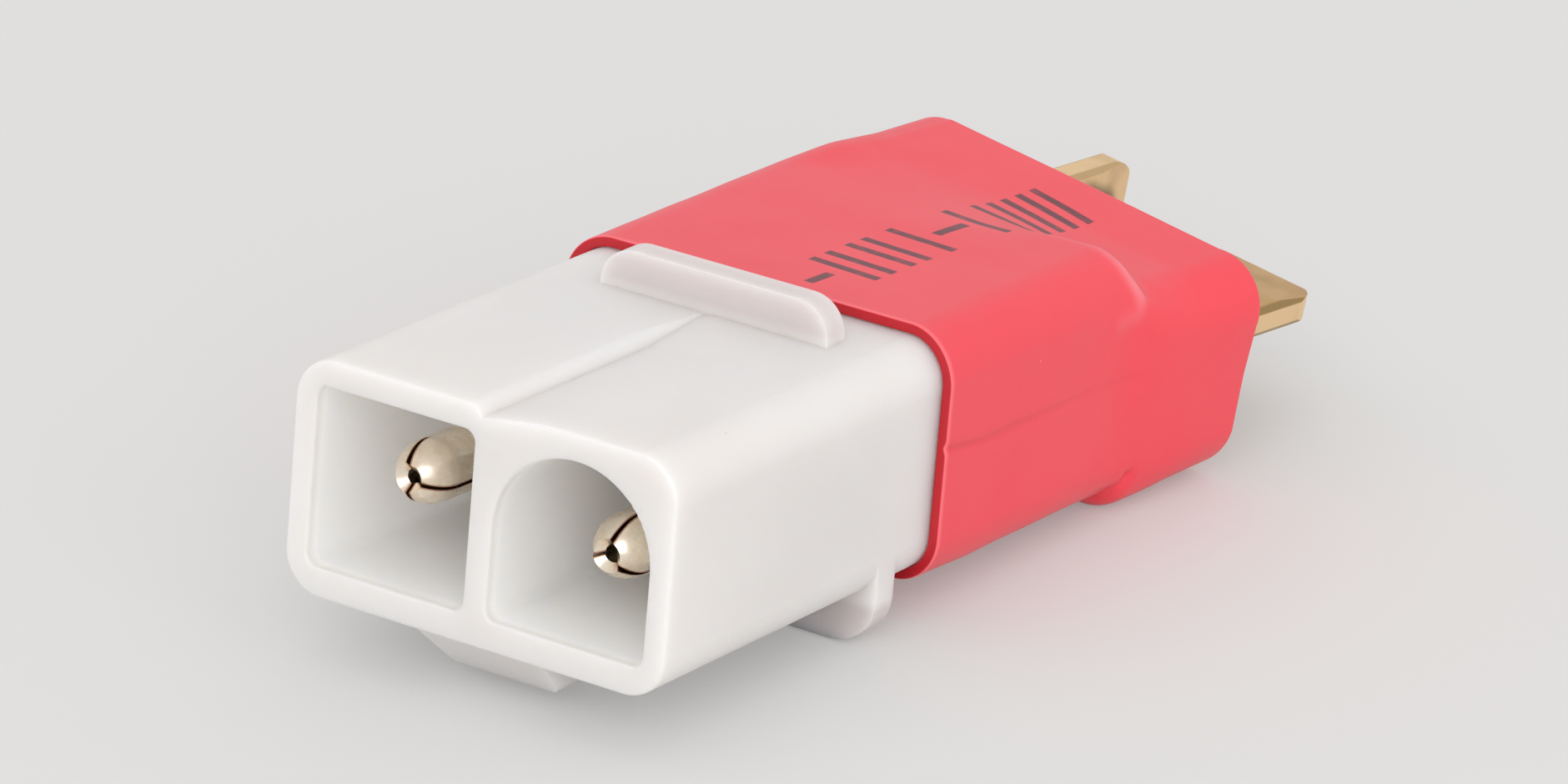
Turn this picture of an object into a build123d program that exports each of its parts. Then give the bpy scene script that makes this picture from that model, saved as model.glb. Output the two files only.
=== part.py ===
from build123d import *
import math
import os

# Battery connector adapter: a two-pin receptacle joined to a bladed T plug under a shrunk sleeve.
# Sizes are in millimetres and angles in degrees.
# The origin is the centre of the receptacle's mating face, +Y runs back along it and +Z is up.

# Fits
fit_gap = 0.02
shrink_gap = 0.03

# Receptacle housing
housing_width = 15.2
housing_height = 8.4
housing_length = 28.4
housing_corner = 1.5
mouth_edge_round = 0.12
mouth_inner_round = 0.1

# Its walls, front cavities and rear chambers
side_wall = 0.85
roof_wall = 0.95
floor_wall = 1.05
partition = 0.9
partition_shift = 0.05
cavity_corner = 0.45
web_thickness = 3.0
chamber_length = 11.8
chamber_corner = 0.9

# Hollow along the top, left of the round-topped cavity
hollow_shift = -0.18
hollow_depth = 0.41
hollow_left_run = 0.55
hollow_right_run = 3.8
hollow_fade = 3.6
hollow_end_depth = 0.06

# Stop flanges above and below, their fronts a little ahead of the web
flange_lead = 0.4
flange_thickness = 1.1
top_flange_width = 9.2
top_flange_shift = 0.2
top_flange_rise = 1.45
top_flange_corner = 1.3
low_flange_drop = 1.75
low_flange_corner = 1.7

# Latch catch below the mouth
catch_start = 0.35
catch_ramp = 1.65
catch_land = 1.2
catch_drop = 1.6
catch_width = 5.2
catch_left_draft = 0.75
catch_right_draft = 0.2
catch_foot_round = 0.35

# Contact pins, rolled from sheet with a split nose of three petals
pin_radius = 1.12
pin_wall = 0.28
pin_body_rise = 0.22
nose_length = 1.25
nose_tip_radius = 0.46
nose_gap_tip = 0.14
nose_gap_root = 0.09
seam_gap = 0.12
tang_margin = 2.7
tang_length = 3.0
tang_width = 0.9
tang_spread = 0.78
tang_wall = 0.28
shoulder_lead = 0.9
shoulder_length = 1.3
barrel_inner_radius = 1.85
barrel_margin = 3.8
barrel_notch = 0.9
insulation_barrel = 2.5
conductor_wing = 1.2
insulation_wing = 1.7

# How each pin sits in its loose hole, where its nose is split and how far each petal opens
pin_play = 0.42
wide_opening = 0.17
half_opening = 0.1
slight_opening = 0.04
left_tip_setback = 1.15
left_web_rise = 0.05
left_lean = 1.5
left_turn = 105.0
left_gaps = (0.0, 82.0, 240.0)
left_openings = (slight_opening, half_opening, 0)
right_tip_setback = 2.4
right_web_rise = -0.25
right_lean = -1.9
right_turn = 12.0
right_gaps = (0.0, 120.0, 240.0)
right_openings = (0, wide_opening, half_opening)

# T plug body and how it sits behind the housing
plug_extra_width = 0.5
plug_height = 7.35
plug_length = 5.95
plug_corner = 1.9
plug_front_round = 1.0
plug_face_round = 0.25
plug_seat_gap = 0.12
plug_shift = 0.24
plug_rise = -0.2
plug_roll = 6.7
plug_yaw = 7.1

# Plug blades and their solder tabs
blade_width = 5.0
blade_thickness = 1.2
blade_reach = 8.2
blade_edge_round = 0.32
blade_tip_round = 1.3
blade_bevel_length = 2.4
blade_bevel_depth = 0.2
blade_end_round = 0.3
upright_blade_outset = 0.295
upright_blade_rise = -0.22
flat_blade_overhang = 2.075
flat_blade_rise = 0.06
tab_width = 1.8
tab_thickness = 1.0
tab_length = 6.3
flat_tab_outset = 0.325

# Solder in the barrels
solder_reach = 4.6
solder_tail = 0.35
solder_dome = 0.9

# Shrunk sleeve
sleeve_wall = 0.38
sleeve_setback = 2.2
sleeve_lip = 0.55
sleeve_lip_wall = 0.35
sleeve_step_at = 0.6
sleeve_step_rise = 0.3
sleeve_step_drop = 0.2
sleeve_settle_at = 3.3

# Places worked out from the sizes above
housing_top = housing_height / 2
housing_floor = -housing_height / 2
cavity_top = housing_top - roof_wall
cavity_floor = housing_floor + floor_wall
cavity_height = cavity_top - cavity_floor
contact_z = (cavity_top + cavity_floor) / 2
left_cavity_end = partition_shift - partition / 2
left_cavity_start = -housing_width / 2 + side_wall
left_cavity_width = left_cavity_end - left_cavity_start
left_contact_x = (left_cavity_start + left_cavity_end) / 2
right_cavity_start = partition_shift + partition / 2
right_cavity_end = housing_width / 2 - side_wall
right_cavity_width = right_cavity_end - right_cavity_start
right_contact_x = (right_cavity_start + right_cavity_end) / 2
web_end = housing_length - chamber_length
cavity_depth = web_end - web_thickness
web_middle = web_end - web_thickness / 2
flange_front = cavity_depth - flange_lead
flange_back = flange_front + flange_thickness
hollow_length = flange_front - hollow_fade
tang_end = cavity_depth - tang_margin
tang_start = tang_end - tang_length
pin_body_radius = pin_radius + pin_body_rise
pin_front_end = tang_start - pin_body_rise
shoulder_at = web_end - shoulder_lead
barrel_start = shoulder_at + shoulder_length
conductor_barrel = chamber_length - barrel_margin - barrel_notch - insulation_barrel
barrel_end = barrel_start + conductor_barrel + barrel_notch + insulation_barrel
sleeve_start = flange_back + sleeve_setback
sleeve_offset = shrink_gap + sleeve_wall
plug_width = housing_width + plug_extra_width
plug_front = housing_length + plug_seat_gap + plug_width / 2 * math.sin(math.radians(plug_yaw))
upright_blade_shift = left_contact_x - upright_blade_outset
flat_blade_shift = right_contact_x + flat_blade_overhang - blade_width / 2
flat_tab_shift = right_contact_x + flat_tab_outset
blade_tip_at = plug_length + blade_reach
sleeve_rear = plug_length + shrink_gap + sleeve_lip_wall
overlap = 0.5

plug_place = Pos(plug_shift, plug_front, plug_rise) * Rot(Z=-plug_yaw) * Rot(Y=plug_roll)


def prism(outline, start, end):
    """Carries an outline drawn in X and Z along Y, from one value to another."""
    return extrude(Pos(0, end, 0) * (Plane.XZ * outline), amount=end - start)


def hollow_outline(depth):
    """Outline of the top hollow: a steep rounded left flank and a long rise to the right."""
    share = depth / hollow_depth
    bottom = (hollow_shift, housing_top - depth)
    left = (hollow_shift - hollow_left_run * share, housing_top)
    right = (hollow_shift + hollow_right_run * share, housing_top)
    flank = TangentArc(left, bottom, tangent=(1, 0))
    rise = TangentArc(right, bottom, tangent=(-1, 0))
    above = housing_top + overlap
    lid = Polyline(right, (right[0], above), (left[0], above), left)
    return make_face([flank, rise, lid])


def hollow():
    """The top hollow: even from the mouth, then fading out at the flange."""
    even = prism(hollow_outline(hollow_depth), -overlap, hollow_length)
    near = Pos(0, hollow_length, 0) * (Plane.XZ * hollow_outline(hollow_depth))
    far = Pos(0, flange_front, 0) * (Plane.XZ * hollow_outline(hollow_end_depth))
    return even + loft([near, far])


def catch():
    """The latch catch: a ramp and a land in side view, leaning flanks in front view."""
    foot = housing_floor - catch_drop
    root = housing_floor + floor_wall / 2
    land_end = catch_start + catch_ramp + catch_land
    side = Plane.YZ * make_face(Polyline(
        (catch_start, root),
        (catch_start, housing_floor),
        (catch_start + catch_ramp, foot),
        (land_end, foot),
        (land_end, root),
        close=True,
    ))
    half = catch_width / 2
    front = make_face(Polyline(
        (-half, root),
        (half, root),
        (half, housing_floor),
        (half - catch_right_draft, foot),
        (-half + catch_left_draft, foot),
        (-half, housing_floor),
        close=True,
    ))
    front = fillet(front.vertices().group_by(Axis.Y)[0], catch_foot_round)
    ramp = extrude(Pos(-half, 0, 0) * side, amount=catch_width)
    return ramp & prism(front, 0, cavity_depth)


def flanges():
    """The short stop flange on top and the full-width one below."""
    top_height = top_flange_rise + roof_wall
    top_middle = housing_top + top_flange_rise - top_height / 2
    top = Pos(top_flange_shift, top_middle) * Rectangle(top_flange_width, top_height)
    top = fillet(top.vertices().group_by(Axis.Y)[-1], top_flange_corner)
    low_height = low_flange_drop + housing_corner + floor_wall
    low_middle = housing_floor - low_flange_drop + low_height / 2
    low = Pos(0, low_middle) * Rectangle(housing_width, low_height)
    low = fillet(low.vertices().group_by(Axis.Y)[0], low_flange_corner)
    return prism(top, flange_front, flange_back) + prism(low, flange_front, flange_back)


def left_cavity_outline():
    """The square cavity."""
    square = RectangleRounded(left_cavity_width, cavity_height, cavity_corner)
    return Pos(left_contact_x, contact_z) * square


def right_cavity_outline():
    """The round-topped cavity: a full half circle over a square foot."""
    radius = right_cavity_width / 2
    centre = cavity_top - radius
    foot_height = centre - cavity_floor
    foot = Pos(right_contact_x, cavity_floor + foot_height / 2)
    foot = foot * Rectangle(right_cavity_width, foot_height)
    foot = fillet(foot.vertices().group_by(Axis.Y)[0], cavity_corner)
    return foot + Pos(right_contact_x, centre) * Circle(radius)


def housing():
    """The white moulding: mouth, web, rear chambers, flanges and catch in one piece."""
    outline = RectangleRounded(housing_width, housing_height, housing_corner)
    body = prism(outline, 0, housing_length) + flanges() + catch() - hollow()
    body -= prism(left_cavity_outline(), -overlap, cavity_depth)
    body -= prism(right_cavity_outline(), -overlap, cavity_depth)
    for x, width in ((left_contact_x, left_cavity_width), (right_contact_x, right_cavity_width)):
        chamber = Pos(x, contact_z) * RectangleRounded(width, cavity_height, chamber_corner)
        body -= prism(chamber, web_end, housing_length + overlap)
        hole = Pos(x, contact_z) * Circle(pin_body_radius + pin_play)
        body -= prism(hole, cavity_depth - overlap, web_end + overlap)
    mouth = body.faces().sort_by(Axis.Y)[0]
    rim = [edge for wire in mouth.inner_wires() for edge in wire.edges()]
    body = fillet(rim, mouth_inner_round)
    mouth = body.faces().sort_by(Axis.Y)[0]
    return fillet(mouth.outer_wire().edges(), mouth_edge_round)


def nose_profile(tip_radius):
    """Half section of the bullet nose down to a given tip radius."""
    inner = pin_radius - pin_wall
    tip_inner = tip_radius - pin_wall
    nose = TangentArc((pin_radius, nose_length), (tip_radius, 0), tangent=(0, -1))
    tip = Line((tip_radius, 0), (tip_inner, pin_wall))
    bore = TangentArc((inner, nose_length), (tip_inner, pin_wall), tangent=(0, -1))
    back = Line((inner, nose_length), (pin_radius, nose_length))
    return make_face([nose, tip, bore, back])


def pin_tube():
    """The rolled contact behind its nose as one turned shell: tube, body, shoulder cone, barrel."""
    outer_barrel = barrel_inner_radius + pin_wall
    inner = pin_radius - pin_wall
    body_inner = pin_body_radius - pin_wall
    return revolve(make_face(Polyline(
        (pin_radius, nose_length),
        (pin_radius, pin_front_end),
        (pin_body_radius, tang_start),
        (pin_body_radius, shoulder_at),
        (outer_barrel, barrel_start),
        (outer_barrel, barrel_end),
        (barrel_inner_radius, barrel_end),
        (barrel_inner_radius, barrel_start),
        (body_inner, shoulder_at),
        (body_inner, tang_start),
        (inner, pin_front_end),
        (inner, nose_length),
        close=True,
    )), Axis.Y)


def pin_gap(tip_width, root_width, start, end):
    """A thin radial gap on the open side, with its own width at its front and at its end."""
    outline = make_face(Polyline(
        (-tip_width / 2, start),
        (tip_width / 2, start),
        (root_width / 2, end),
        (-root_width / 2, end),
        close=True,
    ))
    return extrude(outline, amount=pin_radius + overlap)


def petal(share, opening):
    """One petal of the nose, its middle on top, its tip held out by its own opening."""
    profile = nose_profile(nose_tip_radius + opening)
    sector = Rot(Y=-90 - share / 2) * revolve(profile, Axis.Y, share)
    for side in (-share / 2, share / 2):
        sector -= Rot(Y=side) * pin_gap(nose_gap_tip, nose_gap_root, -overlap, nose_length + overlap)
    return sector


def tang(side):
    """One locking tang, lifted from the tube wall towards the rear."""
    root = pin_body_radius - pin_wall
    profile = make_face(Polyline(
        (side * root, tang_start),
        (side * (root + tang_wall), tang_start),
        (side * (pin_radius + tang_spread), tang_end),
        (side * (pin_radius + tang_spread - tang_wall), tang_end),
        close=True,
    ))
    return extrude(profile, amount=tang_width / 2, both=True)


def tang_window(side):
    """The window that the tang leaves in the tube wall."""
    start = tang_start + pin_wall
    end = tang_end + pin_wall
    window = Box(2 * pin_wall + overlap, end - start, tang_width + fit_gap)
    return Pos(side * pin_body_radius, (start + end) / 2, 0) * window


def barrel_wing(side, start, length, height):
    """A straight wing of an open barrel."""
    x = side * (barrel_inner_radius + pin_wall / 2)
    return Pos(x, start + length / 2, height / 2) * Box(pin_wall, length, height)


def contact_pin(gaps, openings):
    """One contact in its own frame: tip at the origin, +Y to the rear, open side up."""
    pin = pin_tube()
    reach = barrel_inner_radius + pin_wall + overlap
    open_length = barrel_end - shoulder_at + overlap
    pin -= Pos(0, shoulder_at + open_length / 2, reach / 2) * Box(2 * reach, open_length, reach)
    insulation_at = barrel_end - insulation_barrel
    for side in (-1, 1):
        pin -= tang_window(side)
        pin += tang(side)
        pin += barrel_wing(side, barrel_start, conductor_barrel, conductor_wing)
        pin += barrel_wing(side, insulation_at, insulation_barrel, insulation_wing)
    pin -= pin_gap(seam_gap, seam_gap, nose_length - overlap, shoulder_at + overlap)
    for start, end, opening in zip(gaps, gaps[1:] + (360 + gaps[0],), openings):
        pin += Rot(Y=(start + end) / 2) * petal(end - start, opening)
    return pin


def solder_bead():
    """A bead in the barrel of a contact in its own frame: a plain cylinder domed at both ends."""
    radius = barrel_inner_radius - fit_gap
    start = barrel_end - solder_reach
    end = barrel_end + solder_tail
    profile = Pos(radius / 2, (start + end) / 2) * Rectangle(radius, end - start)
    profile = fillet(profile.vertices().group_by(Axis.X)[-1], solder_dome)
    return revolve(profile, Axis.Y)


def pin_place(x, setback, web_rise, lean, turn):
    """Where a contact sits: through its web hole, leaning and turned as it floats there."""
    tip_z = contact_z + web_rise + (web_middle - setback) * math.tan(math.radians(lean))
    return Pos(x, setback, tip_z) * Rot(X=-lean) * Rot(Y=turn)


def plug_body():
    """The T plug's moulding, round-edged, with a slot for each blade."""
    body = prism(RectangleRounded(plug_width, plug_height, plug_corner), 0, plug_length)
    front = body.faces().sort_by(Axis.Y)[0]
    body = fillet(front.edges(), plug_front_round)
    rear = body.faces().sort_by(Axis.Y)[-1]
    body = fillet(rear.edges(), plug_face_round)
    slot = Box(
        blade_width + 2 * fit_gap, plug_length + 2 * overlap, blade_thickness + 2 * fit_gap
    )
    middle = plug_length / 2
    body -= Pos(flat_blade_shift, middle, flat_blade_rise) * slot
    return body - Pos(upright_blade_shift, middle, upright_blade_rise) * Rot(Y=90) * slot


def tab(shift, clearance):
    """A blade's narrow solder tab, grown by a clearance where it is cut out of another piece."""
    length = tab_length + overlap
    middle = overlap - length / 2
    grow = 2 * clearance
    return Pos(shift, middle, 0) * Box(tab_width + grow, length + grow, tab_thickness + grow)


def blade(tab_shift):
    """A blade lying flat: a round-edged bar with a tapered, rounded tip, and its solder tab in front."""
    bar = prism(RectangleRounded(blade_width, blade_thickness, blade_edge_round), 0, blade_tip_at)
    plan = Pos(0, blade_tip_at / 2) * Rectangle(blade_width, blade_tip_at)
    plan = fillet(plan.vertices().group_by(Axis.Y)[-1], blade_tip_round)
    half = blade_thickness / 2
    side = make_face(Polyline(
        (0, -half),
        (0, half),
        (blade_tip_at - blade_bevel_length, half),
        (blade_tip_at, half - blade_bevel_depth),
        (blade_tip_at, -half + blade_bevel_depth),
        (blade_tip_at - blade_bevel_length, -half),
        close=True,
    ))
    side = fillet(side.vertices().group_by(Axis.X)[-1], blade_end_round)
    flat = extrude(plan, amount=blade_thickness, both=True)
    profile = extrude(Plane.YZ * side, amount=blade_width, both=True)
    return (bar & flat & profile) + tab(tab_shift, 0)


def over_section(width, height, corner, offset):
    """A rounded outline that stands a given distance off a body of this section."""
    return RectangleRounded(width + 2 * offset, height + 2 * offset, corner + offset)


def sleeve_skin(offset, end):
    """A closed solid of the sleeve's run: over the housing, down the step, along the plug."""
    over_housing = over_section(housing_width, housing_height, housing_corner, offset)
    over_plug = over_section(plug_width, plug_height, plug_corner, offset)
    stepped_height = plug_height + sleeve_step_rise + sleeve_step_drop
    stepped = over_section(plug_width, stepped_height, plug_corner, offset)
    stepped = Pos(0, (sleeve_step_rise - sleeve_step_drop) / 2) * stepped
    last = housing_length + fit_gap
    run = prism(over_housing, sleeve_start, last)
    step = loft([
        Pos(0, last, 0) * (Plane.XZ * over_housing),
        plug_place * Pos(0, sleeve_step_at, 0) * (Plane.XZ * stepped),
        plug_place * Pos(0, sleeve_settle_at, 0) * (Plane.XZ * over_plug),
    ], ruled=True)
    return run + step + plug_place * prism(over_plug, sleeve_settle_at, end)


def sleeve():
    """The shrunk sleeve, with its rear edge curled over the plug's face."""
    outer = sleeve_skin(sleeve_offset, sleeve_rear)
    inner = sleeve_skin(shrink_gap, plug_length + shrink_gap)
    window = over_section(plug_width, plug_height, plug_corner, -sleeve_lip)
    return outer - inner - plug_place * prism(window, plug_length, sleeve_rear + overlap)


def write(node, solid):
    """Writes one piece under its node's name."""
    export_step(solid, os.path.join("parts", node + ".step"))


def main():
    """Builds every piece in place and writes it."""
    os.makedirs("parts", exist_ok=True)
    left_place = pin_place(left_contact_x, left_tip_setback, left_web_rise, left_lean, left_turn)
    right_place = pin_place(
        right_contact_x, right_tip_setback, right_web_rise, right_lean, right_turn
    )
    upright_place = plug_place * Pos(upright_blade_shift, 0, upright_blade_rise) * Rot(Y=90)
    flat_place = plug_place * Pos(flat_blade_shift, 0, flat_blade_rise)
    flat_tab_offset = flat_tab_shift - flat_blade_shift
    write("receptacle_housing", housing())
    write("left_contact_pin", left_place * contact_pin(left_gaps, left_openings))
    write("right_contact_pin", right_place * contact_pin(right_gaps, right_openings))
    write("left_solder_joint", left_place * solder_bead() - upright_place * tab(0, fit_gap))
    write("right_solder_joint", right_place * solder_bead() - flat_place * tab(flat_tab_offset, fit_gap))
    write("plug_body", plug_place * plug_body())
    write("upright_blade", upright_place * blade(0))
    write("flat_blade", flat_place * blade(flat_tab_offset))
    write("shrink_sleeve", sleeve())


main()
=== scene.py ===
"""Looks of the battery connector adapter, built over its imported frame."""

import logging
import math
from dataclasses import dataclass
from enum import Enum
from functools import cached_property

import bpy
import numpy as np
from mathutils import Matrix, Vector


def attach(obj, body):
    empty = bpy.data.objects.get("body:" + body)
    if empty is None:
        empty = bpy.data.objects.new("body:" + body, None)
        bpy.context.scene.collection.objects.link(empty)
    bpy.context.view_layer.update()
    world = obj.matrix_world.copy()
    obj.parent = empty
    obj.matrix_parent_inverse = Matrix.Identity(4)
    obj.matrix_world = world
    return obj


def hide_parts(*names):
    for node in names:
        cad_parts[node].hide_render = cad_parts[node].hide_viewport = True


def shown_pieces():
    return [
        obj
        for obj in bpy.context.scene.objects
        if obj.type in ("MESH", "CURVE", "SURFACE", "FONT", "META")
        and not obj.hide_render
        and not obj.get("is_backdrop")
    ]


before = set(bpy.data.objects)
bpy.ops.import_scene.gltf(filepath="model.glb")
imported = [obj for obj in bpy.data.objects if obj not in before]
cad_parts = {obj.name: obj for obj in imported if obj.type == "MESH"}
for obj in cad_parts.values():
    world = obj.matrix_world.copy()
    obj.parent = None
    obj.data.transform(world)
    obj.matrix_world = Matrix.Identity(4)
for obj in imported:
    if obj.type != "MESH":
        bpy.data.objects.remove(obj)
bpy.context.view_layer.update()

LOG = logging.getLogger("adapter")
MILLIMETRE = 0.001
RIGHT_ANGLE = math.pi / 2
MIX_FIRST, MIX_SECOND, MIX_RESULT = 6, 7, 2
Colour = tuple[float, float, float]
Place = tuple[float, float, float]
Line = tuple[Place, ...]
Pair = tuple[float, float]
Look = tuple[float, Pair, Colour, Colour]
Inputs = dict[str | int, object]
Array = np.ndarray
Material = bpy.types.Material
Socket = bpy.types.NodeSocket


class Side(Enum):
    """The two sides that the contacts lie on."""

    LEFT = "left"
    RIGHT = "right"


def ramp(value: Array, start: float, run: float) -> Array:
    """Rises straight from 0 at a start to 1 a run further on, or the other way for a run below zero."""
    return np.clip((value - start) / run, 0, 1)


def soft(share: Array) -> Array:
    """Eases a share from 0 to 1 at both its ends: three times its square less twice its cube."""
    return share * share * (3 - 2 * share)


def bell(away: Array, width: float) -> Array:
    """A bell curve of a distance: the exponential of minus the square of its share of a width."""
    return np.exp(-((away / width) ** 2))


class Graph:
    """A material or world under construction, with short calls for the nodes it needs."""

    def __init__(self, name: str, for_world: bool = False) -> None:
        """Starts an empty node tree.

        Args:
            name: Name of the material or world.
            for_world: Whether it is a world.
        """
        self.kind = "World" if for_world else "Material"
        self.block = (bpy.data.worlds if for_world else bpy.data.materials).new(name)
        self.block.use_nodes = True
        self.tree = self.block.node_tree
        self.tree.nodes.clear()

    def node(self, kind: str, inputs: Inputs | None = None, **settings: object) -> bpy.types.Node:
        """Adds a node.

        Args:
            kind: Node type without its ShaderNode prefix.
            inputs: What its inputs get, by name or number.
            **settings: Properties of the node.

        Returns:
            The new node.
        """
        made = self.tree.nodes.new("ShaderNode" + kind)
        for key, value in settings.items():
            setattr(made, key, value)
        for key, value in (inputs or {}).items():
            self.feed(made.inputs[key], value)
        return made

    def feed(self, socket: Socket, value: object) -> None:
        """Links a socket to another, or sets its plain value.

        Args:
            socket: Input to fill.
            value: Output socket, number or colour.
        """
        if isinstance(value, Socket):
            self.tree.links.new(value, socket)
        elif isinstance(value, tuple) and len(value) == 3 and socket.type == "RGBA":
            socket.default_value = (*value, 1)
        else:
            socket.default_value = value

    @cached_property
    def point(self) -> Socket:
        """Position on the piece in metres."""
        return self.node("TexCoord").outputs["Object"]

    def mark(self, name: str) -> Socket:
        """A number that the mesh carries for each vertex."""
        return self.node("Attribute", attribute_name=name).outputs["Fac"]

    def facing(self) -> Socket:
        """Direction in which the surface faces, in the piece's own frame."""
        return self.node("TexCoord").outputs["Normal"]

    def math(self, operation: str, *values: object) -> Socket:
        """One arithmetic step.

        Args:
            operation: Name of the operation.
            *values: Its inputs.

        Returns:
            The result.
        """
        return self.node("Math", dict(enumerate(values)), operation=operation).outputs[0]

    def times(self, *values: object) -> Socket:
        """Product of two or more numbers."""
        total = values[0]
        for value in values[1:]:
            total = self.math("MULTIPLY", total, value)
        return total

    def vector(self, operation: str, *values: object) -> Socket:
        """One vector step.

        Args:
            operation: Name of the operation.
            *values: Its inputs.

        Returns:
            The vector, or the number for a dot product.
        """
        made = self.node("VectorMath", dict(enumerate(values)), operation=operation)
        return made.outputs["Value" if operation == "DOT_PRODUCT" else "Vector"]

    def part(self, point: Socket, axis: str) -> Socket:
        """One coordinate of a vector."""
        return self.node("SeparateXYZ", {0: point}).outputs[axis]

    def smooth(self, value: object, low: float, high: float) -> Socket:
        """A soft step.

        Args:
            value: Input number.
            low: Where the step starts.
            high: Where it is full. It may lie below the start.

        Returns:
            A number from 0 to 1.
        """
        reach = {"From Min": min(low, high), "From Max": max(low, high)}
        ends = {"To Min": float(high < low), "To Max": float(high >= low)}
        made = self.node("MapRange", {"Value": value, **reach, **ends}, interpolation_type="SMOOTHSTEP")
        return made.outputs["Result"]

    def noise(self, size: float, detail: float = 2.0, stretch: Place = (1, 1, 1)) -> Socket:
        """Soft noise over the piece.

        Args:
            size: Width of one blotch in metres.
            detail: Number of finer layers.
            stretch: Factors on the three axes.

        Returns:
            A number around 0.5.
        """
        scaled = self.vector("MULTIPLY", self.point, stretch)
        made = self.node("TexNoise", {"Vector": scaled, "Scale": 1 / size, "Detail": detail})
        return made.outputs["Fac"]

    def specks(self, spacing: float, radius: float) -> Socket:
        """Small scattered dots.

        Args:
            spacing: Mean distance between cell centres in metres.
            radius: Dot radius as a share of the spacing.

        Returns:
            1 in a dot and 0 elsewhere.
        """
        made = self.node("TexVoronoi", {"Vector": self.point, "Scale": 1 / spacing})
        return self.smooth(made.outputs["Distance"], radius, radius * 0.4)

    def mix(self, factor: object, first: object, second: object) -> Socket:
        """Lays one colour over another.

        Args:
            factor: How much of the second shows.
            first: Colour below.
            second: Colour on top.

        Returns:
            The mixed colour.
        """
        inputs = {"Factor": factor, MIX_FIRST: first, MIX_SECOND: second}
        return self.node("Mix", inputs, data_type="RGBA").outputs[MIX_RESULT]

    def between(self, factor: object, low: float, high: float) -> Socket:
        """A number from one value to another as the factor goes from 0 to 1."""
        return self.math("MULTIPLY_ADD", factor, high - low, low)

    def bump(self, height: object, depth: float, normal: object = None) -> Socket:
        """Relief from a height.

        Args:
            height: Height from 0 to 1.
            depth: Full height in metres.
            normal: Surface direction to start from.

        Returns:
            The disturbed surface direction.
        """
        made = self.node("Bump", {"Strength": 1.0, "Distance": depth, "Height": height})
        if normal is not None:
            self.feed(made.inputs["Normal"], normal)
        return made.outputs["Normal"]

    def shader(self, **values: object) -> Material:
        """Ends the material with one principled shader.

        Args:
            **values: Inputs by name, with underscores for spaces.

        Returns:
            The finished material.
        """
        inputs = {key.replace("_", " "): value for key, value in values.items()}
        return self.end(self.node("BsdfPrincipled", inputs))

    def end(self, shader: bpy.types.Node) -> bpy.types.ID:
        """Ends the tree with an output fed by a shader node, and gives the material or world."""
        self.node("Output" + self.kind, {"Surface": shader.outputs[0]})
        return self.block


@dataclass(frozen=True)
class WhiteNylon:
    """Milky moulded nylon: faintly mottled, soft sheen, a few dark specks.

    The cavity walls are painted much lighter and warmer than the outside, as painted light
    that stands for light let through by the milky walls. The thin flanges are painted greyer
    and faintly pink, as painted shade with a painted red bounce from the film. Lengths are in
    metres, the block's are half its width and half its height.
    """

    colour: Colour = (0.725, 0.705, 0.695)
    deep: Colour = (0.71, 0.685, 0.67)
    # painted light on the cavity walls
    cavity_painted_light: Colour = (0.99, 0.972, 0.94)
    # painted shade on the flanges, faintly pink for the red film's bounce
    flange: Colour = (0.6, 0.555, 0.555)
    speck: Colour = (0.2, 0.18, 0.17)
    block: Pair = (0.0072, 0.0038)
    behind_mouth: Pair = (0.0001, 0.0006)
    wall_fade: float = 0.0002
    flange_back: Pair = (0.009, 0.01)
    flange_out: Pair = (0.0042, 0.0047)

    def build(self) -> Material:
        """Makes the material."""
        graph = Graph("white_nylon")
        cloud = graph.noise(0.006, 3.0)
        colour = graph.mix(graph.smooth(cloud, 0.3, 0.7), self.deep, self.colour)
        # painted light: the cavity walls take a much lighter, warmer colour that stands for light coming
        # through the milky walls
        colour = graph.mix(self.painted_cavity_light_mask(graph), colour, self.cavity_painted_light)
        # painted shade: the flanges take a darker, faintly pink colour for their shade and the film's red
        # bounce
        colour = graph.mix(self.painted_flange_shade(graph), colour, self.flange)
        speck = graph.specks(0.0042, 0.021)
        colour = graph.mix(graph.times(speck, 0.5), colour, self.speck)
        flow = graph.noise(0.0011, 2.0, (1, 0.25, 1))
        grain = graph.noise(0.00022, 2.0)
        relief = graph.bump(flow, 0.000012)
        relief = graph.bump(grain, 0.000003, relief)
        rough = graph.between(cloud, 0.36, 0.5)
        return graph.shader(
            Base_Color=colour, Roughness=rough, Normal=relief, IOR=1.5,
            Subsurface_Weight=1.0, Subsurface_Radius=(1.0, 0.9, 0.8), Subsurface_Scale=0.002,
        )

    def painted_flange_shade(self, graph: Graph) -> Socket:
        """1 on the two stop flanges, which stand out well behind the front: where the painted shade goes."""
        behind = graph.smooth(graph.part(graph.point, "Y"), *self.flange_back)
        away = graph.math("ABSOLUTE", graph.part(graph.point, "Z"))
        return graph.times(behind, graph.smooth(away, *self.flange_out))

    def painted_cavity_light_mask(self, graph: Graph) -> Socket:
        """1 on the cavity walls, behind the mating face and within the outer skin, where the painted cavity
        light goes.
        """
        behind = graph.smooth(graph.part(graph.point, "Y"), *self.behind_mouth)
        for axis, half in zip("XZ", self.block):
            away = graph.math("ABSOLUTE", graph.part(graph.point, axis))
            behind = graph.times(behind, graph.smooth(away, half, half - self.wall_fade))
        return behind


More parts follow.
